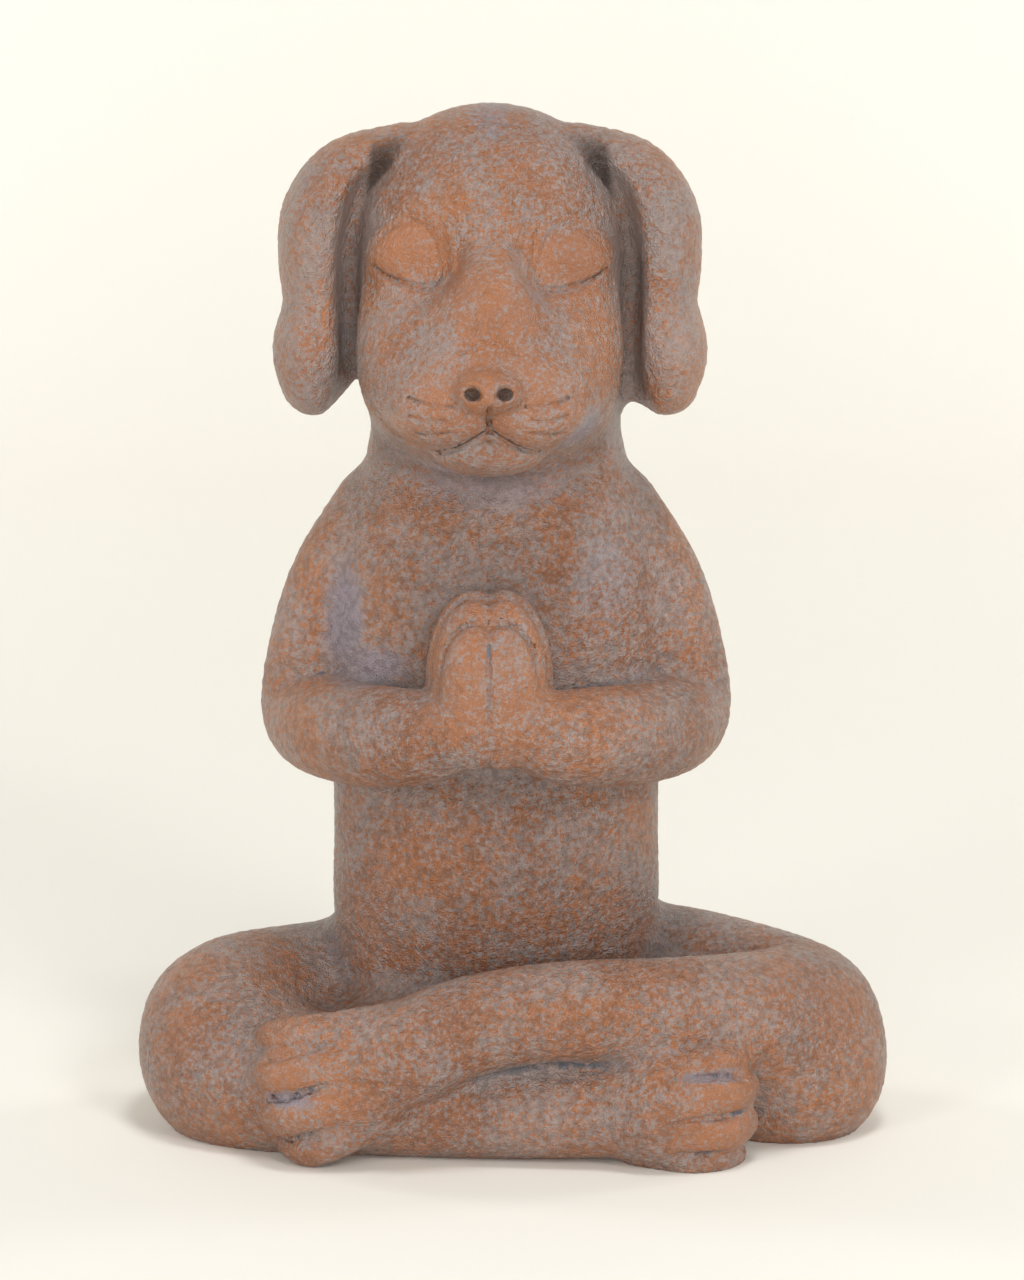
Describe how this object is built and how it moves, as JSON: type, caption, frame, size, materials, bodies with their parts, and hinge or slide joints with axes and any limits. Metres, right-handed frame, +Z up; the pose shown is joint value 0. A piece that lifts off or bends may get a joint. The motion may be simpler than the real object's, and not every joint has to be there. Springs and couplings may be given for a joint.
{
  "type": "praying dog statue",
  "caption": "Seated dog figure with crossed legs, closed eyes, hanging ears and front paws pressed together at the chest.",
  "frame": {"origin": "middle of the figure's box, on the ground it sits on", "axes": "+Z up, -Y the way the dog faces, +X the right-hand side of someone facing it"},
  "size_m": [0.3035, 0.2016, 0.41],
  "materials": {
    "painted_cast_stone": "satin-matt terracotta brown paint with a blue-grey wash in the hollows"
  },
  "bodies": {
    "root": {"praying_dog": "painted_cast_stone"}
  },
  "joints": []
}
